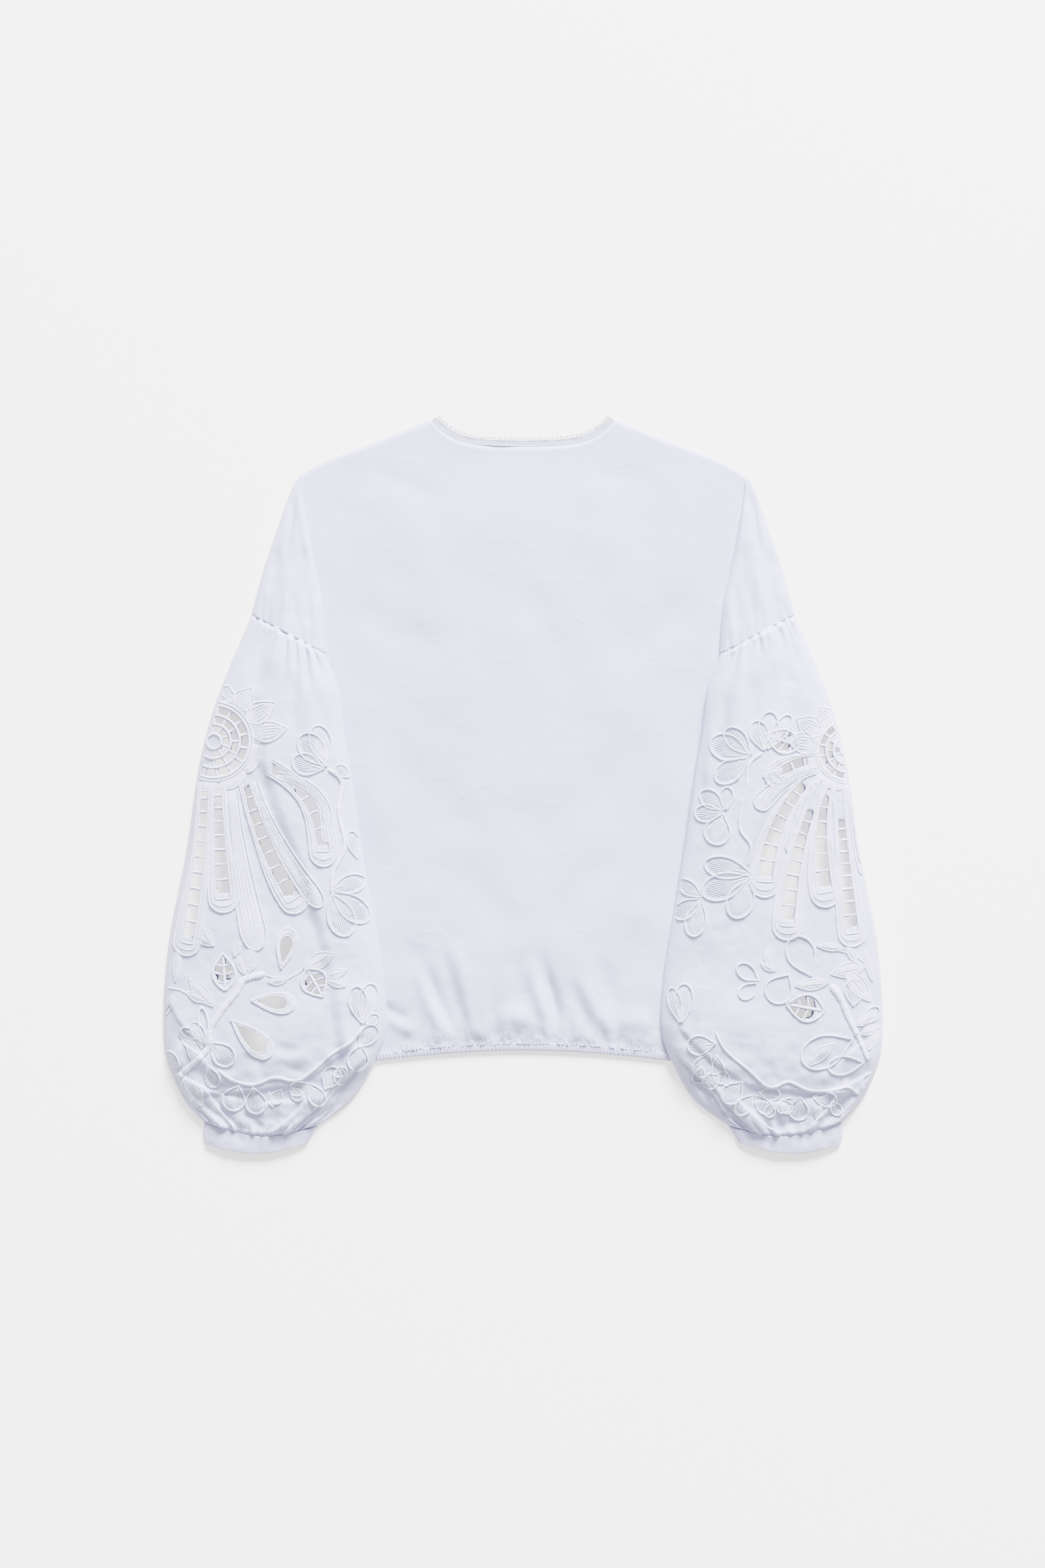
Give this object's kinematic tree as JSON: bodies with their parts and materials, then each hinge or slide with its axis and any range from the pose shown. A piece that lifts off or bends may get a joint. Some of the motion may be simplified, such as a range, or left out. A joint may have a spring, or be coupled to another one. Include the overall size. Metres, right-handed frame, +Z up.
{
  "type": "embroidered blouse laid flat",
  "caption": "White cotton folk blouse laid flat with its back up: balloon sleeves with cutwork embroidery, narrow cuffs, lace-edged neck binding and an elastic hem.",
  "frame": {"origin": "centre of the blouse's outline on the surface it lies on", "axes": "+X to the right seen from above, +Y from the hem towards the neck, +Z up out of the surface; the back of the blouse faces +Z"},
  "size_m": [0.6693, 0.686, 0.0269],
  "materials": {
    "cotton": "plain woven, soft and matte",
    "embroidered_cotton": "plain woven with raised satin stitch and cutwork",
    "binding": "folded bias strip, matte",
    "lace": "thread loops, matte",
    "elastic_casing": "finely puckered casing, matte"
  },
  "bodies": {
    "root": {"front": "cotton", "back": "cotton", "shoulder_left": "cotton", "shoulder_right": "cotton", "sleeve_left_upper": "embroidered_cotton", "sleeve_left_under": "embroidered_cotton", "sleeve_right_upper": "embroidered_cotton", "sleeve_right_under": "embroidered_cotton", "cuff_left": "cotton", "cuff_right": "cotton", "neck_binding_back": "binding", "neck_binding_front": "binding", "neck_lace_back": "lace", "neck_lace_front": "lace", "hem_band_back": "elastic_casing", "hem_band_front": "elastic_casing"}
  },
  "joints": []
}
